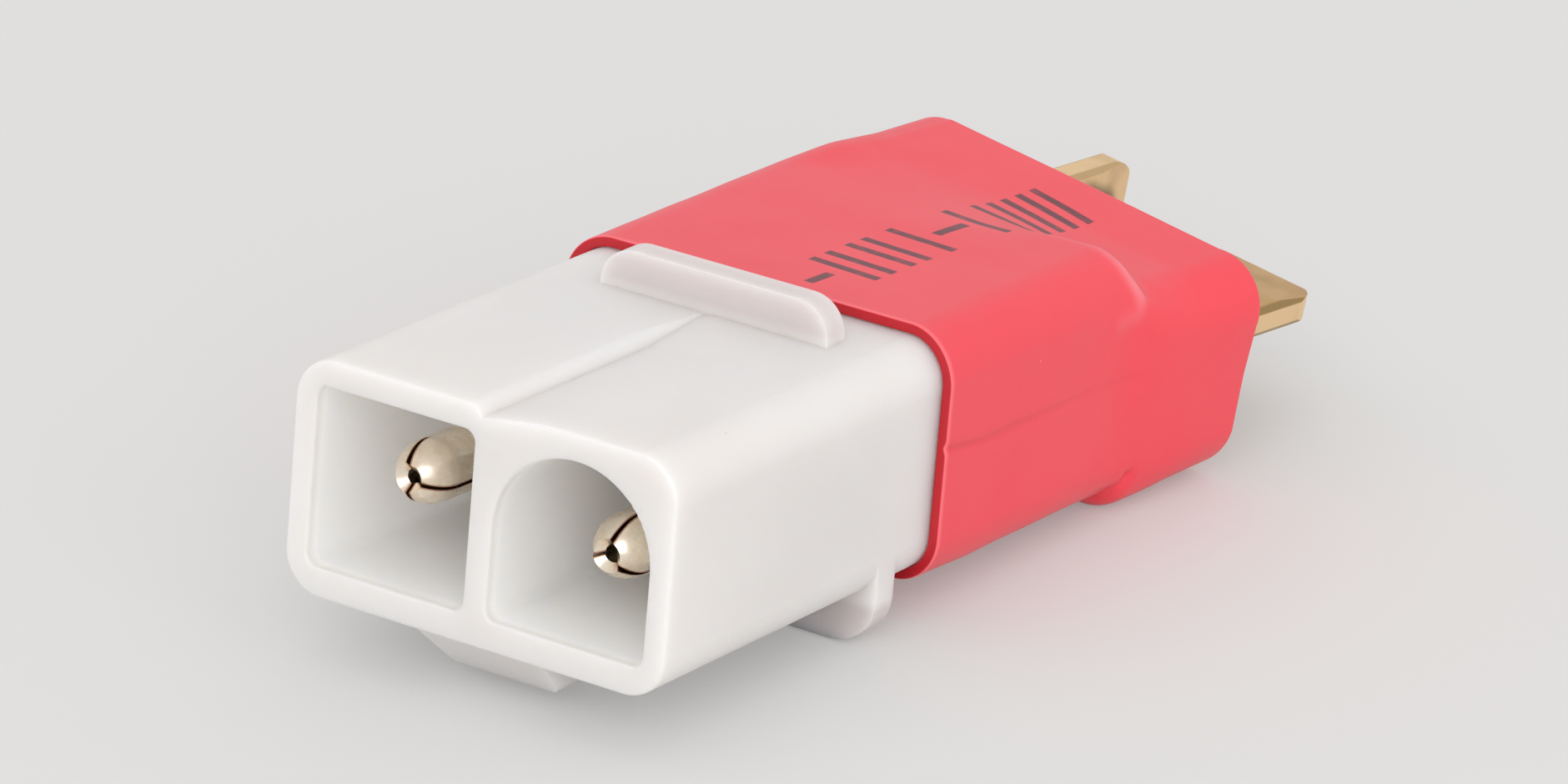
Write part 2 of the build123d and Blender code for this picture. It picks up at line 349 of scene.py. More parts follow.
@dataclass(frozen=True)
class TinnedSheet:
    """Warm tin over copper alloy: bright rolled faces and brown cut edges.

    Lengths are in metres, the lean and the splits' turns in degrees.
    """

    name: str
    tip: Place
    lean: float
    splits: tuple[float, ...]
    nose: float = 0.00128
    nose_fade: float = 0.00005
    bare: Pair = (0.0001, 0.00006)
    uneven: float = 0.00006
    bareness: float = 0.85
    edge_on: Pair = (0.75, 0.95)
    colour: Colour = (0.95, 0.84, 0.7)
    stained: Colour = (0.84, 0.72, 0.56)
    cut: Colour = (0.42, 0.2, 0.11)

    def near_split(self, graph: Graph, arm: Socket, blotch: Socket) -> Socket:
        """Finds the bare copper along the nose's splits and the rolled seam.

        A split lies in a half plane from the contact's axis. The length of the arm across
        that plane is the distance from the split, wherever its length along the plane is
        above zero.

        Args:
            graph: Material under construction.
            arm: Position from the tip in metres.
            blotch: Noise that makes the line uneven.

        Returns:
            1 beside a split and 0 elsewhere.
        """
        lean = math.radians(self.lean)
        axis = Vector((0.0, math.cos(lean), -math.sin(lean)))
        behind = graph.vector("DOT_PRODUCT", arm, tuple(axis))
        on_nose = graph.smooth(behind, self.nose + self.nose_fade, self.nose)
        found: object = 0.0
        for number, angle in enumerate(self.splits):
            turn = math.radians(angle)
            way = Matrix.Rotation(-lean, 3, "X") @ Vector((math.sin(turn), 0.0, math.cos(turn)))
            side = axis.cross(way)
            away = graph.math("ABSOLUTE", graph.vector("DOT_PRODUCT", arm, tuple(side)))
            uneven = graph.math("MULTIPLY_ADD", blotch, -self.uneven, away)
            line = graph.smooth(uneven, *self.bare)
            ahead = graph.smooth(graph.vector("DOT_PRODUCT", arm, tuple(way)), 0.0, self.bare[0])
            line = graph.times(line, ahead)
            if number:
                line = graph.times(line, on_nose)
            found = graph.math("MAXIMUM", line, found)
        return found

    def build(self) -> Material:
        """Makes the material.

        A face is a cut edge where it looks round the contact and not out from it: the
        direction round the contact is the cross product of its axis and the arm from the
        axis, and the share of the surface's direction along it is the mask.
        """
        graph = Graph(self.name)
        lean = math.radians(self.lean)
        axis = (0.0, math.cos(lean), -math.sin(lean))
        arm = graph.vector("SUBTRACT", graph.point, self.tip)
        turn = graph.vector("NORMALIZE", graph.vector("CROSS_PRODUCT", arm, axis))
        across = graph.math("ABSOLUTE", graph.vector("DOT_PRODUCT", graph.facing(), turn))
        stain = graph.noise(0.0007, 3.0)
        blotch = graph.noise(0.00035, 2.0)
        bare = graph.times(self.near_split(graph, arm, blotch), self.bareness)
        cut = graph.math("MAXIMUM", graph.smooth(across, *self.edge_on), bare)
        tin = graph.mix(graph.smooth(stain, 0.35, 0.7), self.colour, self.stained)
        colour = graph.mix(cut, tin, self.cut)
        draw = graph.noise(0.00025, 3.0, (1, 0.2, 1))
        relief = graph.bump(draw, 0.000008)
        rough = graph.between(stain, 0.16, 0.4)
        return graph.shader(Base_Color=colour, Metallic=1.0, Roughness=rough, Normal=relief)


@dataclass(frozen=True)
class DullSolder:
    """Grey solder with a frosted, slightly wavy skin."""

    colour: Colour = (0.62, 0.62, 0.62)
    frosted: Colour = (0.42, 0.42, 0.43)

    def build(self) -> Material:
        """Makes the material."""
        graph = Graph("solder")
        frost = graph.noise(0.0004, 4.0)
        colour = graph.mix(frost, self.colour, self.frosted)
        relief = graph.bump(graph.noise(0.0012, 3.0), 0.00004)
        rough = graph.between(frost, 0.3, 0.55)
        return graph.shader(Base_Color=colour, Metallic=1.0, Roughness=rough, Normal=relief)


@dataclass(frozen=True)
class DarkRedNylon:
    """Deep red filled nylon with a fine spark-eroded grain."""

    colour: Colour = (0.32, 0.03, 0.03)
    deep: Colour = (0.22, 0.018, 0.02)

    def build(self) -> Material:
        """Makes the material."""
        graph = Graph("dark_red_nylon")
        cloud = graph.noise(0.003, 3.0)
        colour = graph.mix(cloud, self.colour, self.deep)
        relief = graph.bump(graph.noise(0.00015, 2.0), 0.000012)
        rough = graph.between(cloud, 0.4, 0.6)
        return graph.shader(Base_Color=colour, Roughness=rough, Normal=relief, IOR=1.5)


@dataclass(frozen=True)
class BlankedBrass:
    """Gold-toned blade stock: duller rolled faces and brighter blanked edges, partly their own colour and
    partly painted reflection, with painted shade on the rounding between.

    A dark brown painted shade crosses the blade near its root as a band, between two lengths
    along its own direction, and shows between two lengths along Y. Lengths are in metres.
    """

    name: str
    broad: Place
    root_shade_way: Place
    root_shade_band: Pair
    root_shade: float
    root_shade_reach: Pair
    face: Colour
    # painted shade on the rounded edges
    rounding_shade: Colour
    edge: Colour = (0.95, 0.68, 0.39)
    # painted shade colour at the blade's root
    root_shade_colour: Colour = (0.1, 0.055, 0.03)
    ragged: float = 0.0006
    end_fade: float = 0.0007
    rounding_from: Pair = (0.2, 0.4)
    face_from: Pair = (0.82, 0.97)

    def build(self) -> Material:
        """Makes the material.

        The share of the surface's direction along the broad faces' own tells rolled
        faces, rounding and blanked edges apart.
        """
        graph = Graph(self.name)
        cloud = graph.noise(0.0016, 3.0)
        across = graph.math("ABSOLUTE", graph.vector("DOT_PRODUCT", graph.facing(), self.broad))
        dull_face = tuple(0.8 * part for part in self.face)
        dull_edge = tuple(0.88 * part for part in self.edge)
        face = graph.mix(graph.smooth(cloud, 0.4, 0.75), self.face, dull_face)
        edge = graph.mix(graph.smooth(cloud, 0.45, 0.75), self.edge, dull_edge)
        # painted shade on the rounding between broad faces and blanked edges
        colour = graph.mix(graph.smooth(across, *self.rounding_from), edge, self.rounding_shade)
        colour = graph.mix(graph.smooth(across, *self.face_from), colour, face)
        # painted shade: a dark brown band at the blade's root, standing for the shadow beside the film and
        # the plug
        band = graph.times(self.root_shade_mask(graph), self.root_shade)
        colour = graph.mix(band, colour, self.root_shade_colour)
        rub = graph.noise(0.0003, 3.0, (1, 0.1, 1))
        relief = graph.bump(rub, 0.000006)
        rough = graph.between(cloud, 0.28, 0.45)
        return graph.shader(Base_Color=colour, Metallic=1.0, Roughness=rough, Normal=relief)

    def root_shade_mask(self, graph: Graph) -> Socket:
        """Works out where the painted root shade lies.

        It is the product of four soft steps: two on the length along the shade band's own
        direction, made ragged by noise, and two on the length along Y.

        Args:
            graph: Material under construction.

        Returns:
            1 in the painted shade and 0 elsewhere.
        """
        reach = graph.vector("DOT_PRODUCT", graph.point, self.root_shade_way)
        ragged = graph.math("MULTIPLY_ADD", graph.noise(0.0018, 1.0), self.ragged, reach)
        start, end = (place + self.ragged / 2 for place in self.root_shade_band)
        back = graph.part(graph.point, "Y")
        first, last = self.root_shade_reach
        return graph.times(
            graph.smooth(ragged, start - self.ragged, start),
            graph.smooth(ragged, end, end - self.end_fade),
            graph.smooth(back, first, first + 2 * self.ragged),
            graph.smooth(back, last, last - self.ragged),
        )


@dataclass(frozen=True)
class PrintRow:
    """A generic printed row along the film: dashes and slanted strokes, in millimetres.

    Places along the row are lengths along the film, which the mesh carries as "run", so
    the marks follow the film over its step.
    """

    middle: float = 1.25
    drift: float = 0.05
    row_start: float = 17.4
    dashes: tuple[Pair, ...] = ((17.44, 18.78), (25.1, 26.95))
    strokes: tuple[float, ...] = (
        19.6, 20.55, 21.75, 22.7, 24.2, 27.6, 29.4, 30.4, 31.3, 32.2, 33.1,
    )
    half_height: float = 1.46
    stroke: float = 0.4
    slant: float = -0.08
    lowest: float = 3.0
    bleed: float = 0.03
    stroke_bleed: float = 0.04

    def band(self, graph: Graph, value: Socket, low: float, high: float) -> Socket:
        """1 where a length lies between two others, with soft edges."""
        rise = graph.smooth(value, low - self.bleed, low + self.bleed)
        return graph.times(rise, graph.smooth(value, high + self.bleed, high - self.bleed))

    def mask(self, graph: Graph) -> Socket:
        """Works out where ink lies.

        The length across the row is X less the middle of the row, which drifts with the
        length along it. A stroke shows where the length along the row, less the slant times
        the length across it, is near the stroke's own place.

        Args:
            graph: Material under construction.

        Returns:
            1 on ink and 0 elsewhere.
        """
        scaled = graph.vector("MULTIPLY", graph.point, (1 / MILLIMETRE,) * 3)
        along = graph.mark("run")
        middle = graph.math("MULTIPLY_ADD", along, self.drift, self.middle - self.row_start * self.drift)
        across = graph.math("SUBTRACT", graph.part(scaled, "X"), middle)
        away = graph.math("ABSOLUTE", across)
        slanted = graph.math("MULTIPLY_ADD", across, -self.slant, along)
        nearest: object = 9.0
        for place in self.strokes:
            gap = graph.math("ABSOLUTE", graph.math("SUBTRACT", slanted, place))
            nearest = graph.math("MINIMUM", gap, nearest)
        half = self.stroke / 2
        stroke = graph.smooth(nearest, half + self.stroke_bleed, half - self.stroke_bleed)
        strokes = graph.times(stroke, self.band(graph, away, -1.0, self.half_height))
        thin = self.band(graph, away, -1.0, half)
        dash: object = 0.0
        for low, high in self.dashes:
            dash = graph.math("ADD", self.band(graph, along, low, high), dash)
        ink = graph.math("MAXIMUM", strokes, graph.times(thin, dash))
        above = graph.smooth(graph.part(scaled, "Z"), self.lowest - 0.1, self.lowest + 0.1)
        return graph.times(ink, above)


@dataclass(frozen=True)
class ShrunkRed:
    """Red shrink film: satin, deep red where it is cut, stress-whitened at the step, printed, with a painted
    highlight on the rim's rounded edge and painted shade along the side fold.

    The mesh carries the marks stress, fold, edge, cut and run for it.
    """

    colour: Colour = (0.85, 0.066, 0.09)
    shade: Colour = (0.825, 0.053, 0.077)
    cut: Colour = (0.5, 0.006, 0.015)
    pale: Colour = (0.87, 0.22, 0.26)
    ink: Colour = (0.11, 0.02, 0.035)
    scuff: Colour = (0.95, 0.4, 0.42)
    # painted highlight on the rim's rounded outer edge
    rim: Colour = (0.95, 0.2, 0.23)

    def build(self) -> Material:
        """Makes the material."""
        graph = Graph("red_sleeve")
        cloud = graph.noise(0.005, 3.0)
        colour = graph.mix(cloud, self.colour, self.shade)
        colour = graph.mix(graph.mark("stress"), colour, self.pale)
        speck = graph.specks(0.0031, 0.022)
        colour = graph.mix(graph.times(speck, 0.35), colour, self.scuff)
        # painted shade: the cut colour laid along the side fold, standing for the shade in its crease
        colour = graph.mix(graph.mark("fold_and_shade"), colour, self.cut)
        # painted highlight: a pale red line on the rounded outer edge of the cut rim
        colour = graph.mix(graph.mark("edge"), colour, self.rim)
        colour = graph.mix(graph.mark("cut"), colour, self.cut)
        worn = graph.smooth(graph.noise(0.0004, 3.0), 0.2, 0.55)
        worn = graph.between(worn, 0.72, 0.97)
        ink = graph.times(PrintRow().mask(graph), worn)
        colour = graph.mix(ink, colour, self.ink)
        fine = graph.noise(0.0009, 3.0)
        relief = graph.bump(fine, 0.000008)
        relief = graph.bump(graph.noise(0.00012, 2.0), 0.0000015, relief)
        rough = graph.between(cloud, 0.34, 0.46)
        return graph.shader(
            Base_Color=colour, Roughness=rough, Normal=relief, IOR=1.5,
            Subsurface_Weight=0.12, Subsurface_Radius=(1.0, 0.2, 0.15), Subsurface_Scale=0.0006,
        )


def link(name: str, data: bpy.types.ID) -> bpy.types.Object:
    """Puts a mesh, lamp or camera into the scene as an object."""
    piece = bpy.data.objects.new(name, data)
    bpy.context.scene.collection.objects.link(piece)
    return piece


def dress(name: str, material: Material) -> None:
    """Gives a CAD node its finish.

    Args:
        name: Name of the node.
        material: Finish for all of its slots.
    """
    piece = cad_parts[name]
    if not piece.material_slots:
        piece.data.materials.append(material)
    for slot in piece.material_slots:
        slot.material = material
    LOG.info("%s dressed with %s", name, material.name)


def make_piece(
    name: str, points: Array, faces: Array, material: Material, extras: dict[str, Array]
) -> bpy.types.Object:
    """Puts whole arrays into a new smooth-shaded object at the origin.

    Args:
        name: Name of the piece.
        points: Vertices in millimetres, one row each.
        faces: Four vertex numbers a row.
        material: Finish.
        extras: Numbers for each vertex by attribute name.

    Returns:
        The new object, riding on the root body.
    """
    mesh = bpy.data.meshes.new(name)
    mesh.vertices.add(len(points))
    mesh.vertices.foreach_set("co", (points * MILLIMETRE).astype(np.float32).ravel())
    mesh.loops.add(faces.size)
    mesh.loops.foreach_set("vertex_index", faces.astype(np.int32).ravel())
    mesh.polygons.add(len(faces))
    mesh.polygons.foreach_set("loop_start", np.arange(0, faces.size, 4, dtype=np.int32))
    mesh.polygons.foreach_set("loop_total", np.full(len(faces), 4, dtype=np.int32))
    mesh.update(calc_edges=True)
    mesh.validate()
    mesh.polygons.foreach_set("use_smooth", np.ones(len(faces), dtype=bool))
    for key, values in extras.items():
        layer = mesh.attributes.new(key, "FLOAT", "POINT")
        layer.data.foreach_set("value", values.astype(np.float32).ravel())
    mesh.materials.append(material)
    piece = link(name, mesh)
    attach(piece, "root")
    LOG.info("%s made with %d faces", name, len(faces))
    return piece


def closed_grid(rows: int, columns: int) -> Array:
    """Faces of a grid that closes on itself both ways.

    Args:
        rows: Number of rows.
        columns: Number of columns.

    Returns:
        Four vertex numbers a row, for each cell of the grid.
    """
    index = np.arange(rows * columns).reshape(rows, columns)
    down = np.roll(index, -1, axis=0)
    corners = [index, np.roll(index, -1, axis=1), np.roll(down, -1, axis=1), down]
    return np.stack(corners, axis=-1).reshape(-1, 4)


@dataclass
class Receptacle:
    """The white two-way receptacle and its latch catch."""

    def build(self) -> None:
        """Dresses the moulding."""
        dress("receptacle_housing", WhiteNylon().build())


@dataclass
class Contacts:
    """Both rolled contacts and the solder in their barrels.

    Tips are in millimetres, leans and the turns of the splits in degrees.
    """

    pins: tuple[tuple[Side, Place, float, tuple[float, ...]], ...] = (
        (Side.LEFT, (-3.575, 1.15, 0.465), 1.5, (105.0, 187.0, 345.0)),
        (Side.RIGHT, (3.625, 2.4, -0.621), -1.9, (12.0, 132.0, 252.0)),
    )

    def build(self) -> None:
        """Dresses contacts and solder."""
        for side, tip, lean, splits in self.pins:
            metres = tuple(value * MILLIMETRE for value in tip)
            finish = TinnedSheet(side.value + "_tinned_contact", metres, lean, splits)
            dress(side.value + "_contact_pin", finish.build())
        solder = DullSolder().build()
        for side in Side:
            dress(side.value + "_solder_joint", solder)


@dataclass(frozen=True)
class PlugPlace:
    """Where the plug sits behind the receptacle, in millimetres and degrees."""

    shift: float = 0.24
    front: float = 29.49027
    rise: float = -0.2
    roll: float = 6.7
    yaw: float = 7.1
    length: float = 5.95

    def frame(self) -> Array:
        """Rotation from the plug's frame to the adapter's.

        Returns:
            A three by three matrix: the roll about Y and then the yaw about Z.
        """
        roll = Matrix.Rotation(math.radians(self.roll), 3, "Y")
        yaw = Matrix.Rotation(math.radians(-self.yaw), 3, "Z")
        return np.array(yaw @ roll)

    def origin(self) -> Array:
        """Middle of the plug's front."""
        return np.array([self.shift, self.front, self.rise])


@dataclass
class BladedPlug:
    """The T plug's moulding and its two blades.

    A look is the painted root shade's strength and reach in Y, the face's colour with its painted
    reflection, and the rounding's painted shade colour.
    """

    place: PlugPlace = PlugPlace()
    root_shade_way: Place = (0.0, 0.41, 0.91)
    root_shade_band: Pair = (0.0177, 0.019)
    flat_root_shade_length: float = 0.0014
    # painted reflection: the upright blade's face and rounding colours are lighter than the flat blade's,
    # standing for the brighter surroundings each mirrors
    upright_look: Look = (0.9, (0.0403, 0.0433), (0.9, 0.62, 0.345), (0.68, 0.47, 0.25))
    flat_look: Look = (0.4, (0.0, 0.06), (0.68, 0.43, 0.19), (0.42, 0.28, 0.12))

    def build(self) -> None:
        """Dresses the moulding and the blades."""
        dress("plug_body", DarkRedNylon().build())
        across, along, up = (tuple(float(part) for part in way) for way in self.place.frame().T)
        root = float(np.dot(along, self.place.origin()) + self.place.length) * MILLIMETRE
        # painted shade band at the flat blade's root, next to the plug body
        root_band = (root, root + self.flat_root_shade_length)
        for name, *sizes in (
            ("upright", across, self.root_shade_way, self.root_shade_band, *self.upright_look),
            ("flat", up, along, root_band, *self.flat_look),
        ):
            dress(name + "_blade", BlankedBrass(name + "_brass_blade", *sizes).build())


@dataclass
class Section:
    """A rounded rectangle walked round from the middle of its top, in millimetres."""

    width: float
    height: float
    corner: float
    rise: float = 0.0
    side_steps: int = 44
    end_steps: int = 52
    corner_steps: int = 26

    def outline(self) -> tuple[Array, Array]:
        """Walks the outline with the same steps on every section.

        Each quarter turn is a corner arc, point = corner centre + radius times (sine,
        cosine) of the angle, and straight runs join the arcs. The direction outwards
        turns evenly on the arcs and stands still on the runs.

        Returns:
            Points and outward directions, both as X and Z in rows.
        """
        half_width = self.width / 2 - self.corner
        half_height = self.height / 2 - self.corner
        angles: list[Array] = []
        centres: list[Array] = []
        signs = ((1, 1), (1, -1), (-1, -1), (-1, 1))
        for quarter, (right, up) in enumerate(signs):
            turn = np.linspace(0, RIGHT_ANGLE, self.corner_steps, endpoint=False)
            turn += quarter * RIGHT_ANGLE
            angles.append(turn)
            centres.append(np.tile([right * half_width, up * half_height], (self.corner_steps, 1)))
            nxt = signs[(quarter + 1) % 4]
            steps = self.end_steps if quarter % 2 == 0 else self.side_steps * 2
            share = np.linspace(0, 1, steps, endpoint=False)[:, None]
            start = np.array([right * half_width, up * half_height])
            end = np.array([nxt[0] * half_width, nxt[1] * half_height])
            angles.append(np.full(steps, (quarter + 1) * RIGHT_ANGLE))
            centres.append(start + share * (end - start))
        turn = np.concatenate(angles)
        outward = np.stack([np.sin(turn), np.cos(turn)], axis=1)
        points = np.concatenate(centres) + outward * self.corner
        return points + [0, self.rise], outward


@dataclass
class ShrunkSleeve:
    """The red film over the joint, in millimetres. A Pair is a ramp's start and its run."""

    front: float = 16.5
    housing_width: float = 15.2
    housing_height: float = 8.4
    housing_corner: float = 1.5
    housing_end: float = 28.42
    plug_width: float = 15.7
    plug_height: float = 7.35
    wall: float = 0.38
    gap: float = 0.03
    place: PlugPlace = PlugPlace()
    step_at: float = 0.6
    settle_at: float = 3.3
    lip: float = 0.55
    lip_wall: float = 0.35
    step_rise: float = 0.3
    step_drop: float = 0.2
    cut_round: float = 0.08
    rear_round: float = 0.16
    pitch: float = 0.14
    step_key: float = 29.7
    settle_key: float = 32.6
    bend_key: float = 35.3
    tight_bend: float = 0.28
    loose_bend: float = 1.5
    bridged: float = 0.85
    bridge_right: Pair = (5.2, -3.5)
    bridge_left: Pair = (-6.5, 3.0)
    side_bend: Pair = (0.72, 0.25)
    film_corner: float = 1.6
    emboss_line: Line = (
        (-3.0, 28.35, 4.6), (1.7, 28.3, 4.6), (5.4, 28.25, 4.6), (6.9, 28.2, 4.45),
        (7.75, 28.35, 3.9), (8.05, 28.6, 3.1), (8.05, 28.3, 2.55), (8.03, 27.3, 2.41),
    )
    emboss_width: float = 0.3
    emboss_height: float = 0.05
    emboss_start: Pair = (0.14, 0.25)
    fold_line: Line = (
        (8.01, 16.5, 0.6), (8.01, 18.6, 0.36), (8.01, 24.0, 0.31), (8.3, 30.2, 0.28),
    )
    fold_width: float = 0.14
    fold_depth: float = 0.05
    fold_fade: float = 0.7
    dent_line: Line = (
        (6.92, 28.66, -4.56), (7.52, 28.76, -4.21), (7.98, 29.03, -3.68),
    )
    dent_width: float = 0.24
    dent_depth: float = 0.22
    rear_start: Pair = (30.5, 4.5)
    rear_swell: float = 0.1
    corner_swell: float = 0.1
    side_swell: float = 0.16
    low_sag: float = 0.1
    second_sag: float = 0.06
    sag_run: float = 3.0
    second_sag_at: float = 26.5
    sag_end: Pair = (35.0, -3.5)
    upper_side: Pair = (-1.0, 3.0)
    front_slant: float = 0.22
    slant_run: float = 3.0
    nick: Place = (8.01, 16.5, 0.62)
    nick_width: float = 0.16
    nick_depth: float = 0.1
    wave_height: float = 0.005
    wave_run: float = 1.5
    waves: tuple[tuple[Place, float], ...] = (
        ((0.5, 0.9, 0.0), 0.0),
        ((0.0, 1.7, -1.1), 1.0),
        ((0.55, -0.4, 0.0), 2.0),
    )
    rim_clear: float = 0.03
    rim_rounding: float = 0.6
    stress_at: float = 0.6
    run_row: int = 20
    run_x: float = 1.7

    def stations(self) -> Array:
        """Rows of the wall's closed profile, from the front rim back, round the lip and home.

        Each row has the distance behind the mating face, the distance behind the plug's
        front, the offset from what it covers, the shares of housing, step and plug
        section that it takes, its length along the film, and 1 on the outer skin.

        Returns:
            One station a row.
        """
        outer = self.gap + self.wall
        rows: list[tuple[float, ...]] = []
        inner_edge = self.gap + self.rim_clear
        for offset in np.linspace(inner_edge, outer - self.cut_round, 6):
            rows.append((self.front, 0, offset, 1, 0, 0, 0, 0))
        for turn in np.linspace(0, RIGHT_ANGLE, 5)[1:]:
            y = self.front + self.cut_round * (1 - math.cos(turn))
            rows.append((y, 0, outer - self.cut_round * (1 - math.sin(turn)), 1, 0, 0, 0, 0))
        start = self.front + self.cut_round
        curl = self.gap + self.lip_wall
        lip_at = self.place.length + curl
        bend_at = lip_at - self.rear_round
        keys = [start, self.housing_end, self.step_key, self.settle_key, self.bend_key]
        for y in np.arange(start + self.pitch, self.bend_key, self.pitch):
            step = np.interp(y, keys[1:4], [0, 1, 0])
            plug = np.interp(y, keys[2:4], [0, 1])
            behind = np.interp(y, keys[2:], [self.step_at, self.settle_at, bend_at])
            rows.append((min(y, self.housing_end), behind, outer, 1 - step - plug, step, plug, y, 1))
        flat = outer - self.rear_round
        for turn in np.linspace(0, RIGHT_ANGLE, 9):
            at = bend_at + self.rear_round * math.sin(turn)
            rows.append((0, at, flat + self.rear_round * math.cos(turn), 0, 0, 1, self.bend_key, 0.5))
        end = -self.lip + self.lip_wall / 2
        for offset in np.linspace(flat, end, 8)[1:]:
            rows.append((0, lip_at, offset, 0, 0, 1, self.bend_key, 0))
        half = self.lip_wall / 2
        for turn in np.linspace(0, math.pi, 8)[1:]:
            at = lip_at - half + half * math.cos(turn)
            rows.append((0, at, end - half * math.sin(turn), 0, 0, 1, self.bend_key, 0))
        for at, plug in ((self.place.length + self.gap, 1), (self.settle_at, 1), (self.step_at, 0)):
            rows.append((0, at, self.gap, 0, 1 - plug, plug, 0, 0))
        for y in np.linspace(self.housing_end, self.front + self.rim_clear, 6):
            rows.append((y, 0, self.gap, 1, 0, 0, 0, 0))
        return np.array(rows)

    def surface(self) -> tuple[Array, Array, Array]:
        """Works out the skin as a grid: round the section one way, along the wall the other.

        Each point is the station's mix of three rings: the housing's outline at its own
        distance, and the step's and the plug's outlines carried by the plug's frame, each
        moved out along its own direction by the offset.

        Returns:
            The grid of points, the grid of outward directions and the stations.
        """
        rows = self.stations()
        back, behind, offset, on_housing, on_step, on_plug = (column[:, None] for column in rows.T[:6])
        frame_plug = self.place.frame()
        origin = self.place.origin()
        total = 0
        facing = 0
        stepped = self.plug_height + self.step_rise + self.step_drop
        step_shift = (self.step_rise - self.step_drop) / 2
        for section, share, at, turned in (
            (Section(self.housing_width, self.housing_height, self.housing_corner), on_housing, back, False),
            (Section(self.plug_width, stepped, self.film_corner, step_shift), on_step, behind, True),
            (Section(self.plug_width, self.plug_height, self.film_corner), on_plug, behind, True),
        ):
            outline, outward = section.outline()
            flat = outline[None, :, :] + outward[None, :, :] * offset[:, :, None]
            ring = np.stack([flat[..., 0], np.broadcast_to(at, flat.shape[:2]), flat[..., 1]], axis=-1)
            out = np.stack([outward[:, 0], np.zeros(len(outward)), outward[:, 1]], axis=-1)
            out = np.broadcast_to(out, ring.shape)
            if turned:
                ring = ring @ frame_plug.T + origin
                out = out @ frame_plug.T
            total = total + share[:, :, None] * ring
            facing = facing + share[:, :, None] * out
        length = np.linalg.norm(facing, axis=-1, keepdims=True)
        return total, facing / length, rows

    def eased(self, skin: Array, spread: float) -> Array:
        """Runs a bell-shaped average along the film over evenly spaced rows.

        The rows are carried on in a straight line past both ends, so that the ends keep
        their places.

        Args:
            skin: Grid of points.
            spread: Width of the bell in millimetres.

        Returns:
            The eased grid.
        """
        reach = int(3 * spread / self.pitch)
        weights = np.exp(-0.5 * (np.arange(-reach, reach + 1) * self.pitch / spread) ** 2)
        weights /= weights.sum()
        steps = np.arange(1, reach + 1)[:, None, None]
        before = (skin[0] - steps * (skin[1] - skin[0]))[::-1]
        after = skin[-1] + steps * (skin[-1] - skin[-2])
        padded = np.concatenate([before, skin, after])
        windows = np.lib.stride_tricks.sliding_window_view(padded, len(weights), axis=0)
        return windows @ weights

    def drape(self, points: Array, outward: Array, rows: Array) -> None:
        """Lets the film bridge from the housing to the plug.

        The bend is tight over the right half of the housing's top edge. It spreads over
        several millimetres down the sides, by how far the skin faces sideways, and on the
        left half of the top, where the turned plug stands as high as the housing.

        Args:
            points: Grid of points, changed in place.
            outward: Grid of outward directions.
            rows: The stations.
        """
        on_skin = rows[:, 7] == 1
        skin = points[on_skin]
        tight = self.eased(skin, self.tight_bend)
        loose = self.eased(skin, self.loose_bend)
        sideways = ramp(np.abs(outward[on_skin][..., 0]), *self.side_bend)
        x = skin[..., 0]
        middle = self.bridged * ramp(x, *self.bridge_right) * ramp(x, *self.bridge_left)
        loosen = soft(np.maximum(sideways, middle))
        points[on_skin] = tight + loosen[..., None] * (loose - tight)

    def near_line(self, points: Array, line: Line) -> tuple[Array, Array]:
        """Distance to a broken line, and how far along it the nearest place lies.

        Args:
            points: Grid of points.
            line: Corners of the line.

        Returns:
            The distances, and the places as shares of the line from 0 to 1.
        """
        best = np.full(points.shape[:-1], np.inf)
        place = np.zeros(points.shape[:-1])
        runs = len(line) - 1
        for number in range(runs):
            start = np.array(line[number])
            run = np.array(line[number + 1]) - start
            share = np.clip((points - start) @ run / (run @ run), 0, 1)
            away = np.linalg.norm(points - start - share[..., None] * run, axis=-1)
            closer = away < best
            best = np.where(closer, away, best)
            place = np.where(closer, (number + share) / runs, place)
        return best, place

    def swelling(self, points: Array, outward: Array) -> Array:
        """How far the film stands out at the rear and hangs below, in millimetres.

        The swell eases in towards the rear: all round but the underside, more on the upper
        right side, and at its corner by twice the product of facing right and facing up. The
        sag is two ramps along the film times facing down, and fades out before the rear.

        Args:
            points: Grid of points.
            outward: Grid of outward directions.

        Returns:
            The lift of each point.
        """
        y, z = points[..., 1], points[..., 2]
        upwards = outward[..., 2]
        right = np.clip(outward[..., 0], 0, 1)
        under = np.clip(-upwards, 0, 1)
        rear = soft(ramp(y, *self.rear_start))
        swell = self.rear_swell * (1 - under) + self.side_swell * right * ramp(z, *self.upper_side)
        swell = rear * (swell + self.corner_swell * 2 * right * upwards)
        sag = self.low_sag * ramp(y, self.front, self.sag_run)
        sag = sag + self.second_sag * ramp(y, self.second_sag_at, self.sag_run)
        return swell + sag * ramp(y, *self.sag_end) * under

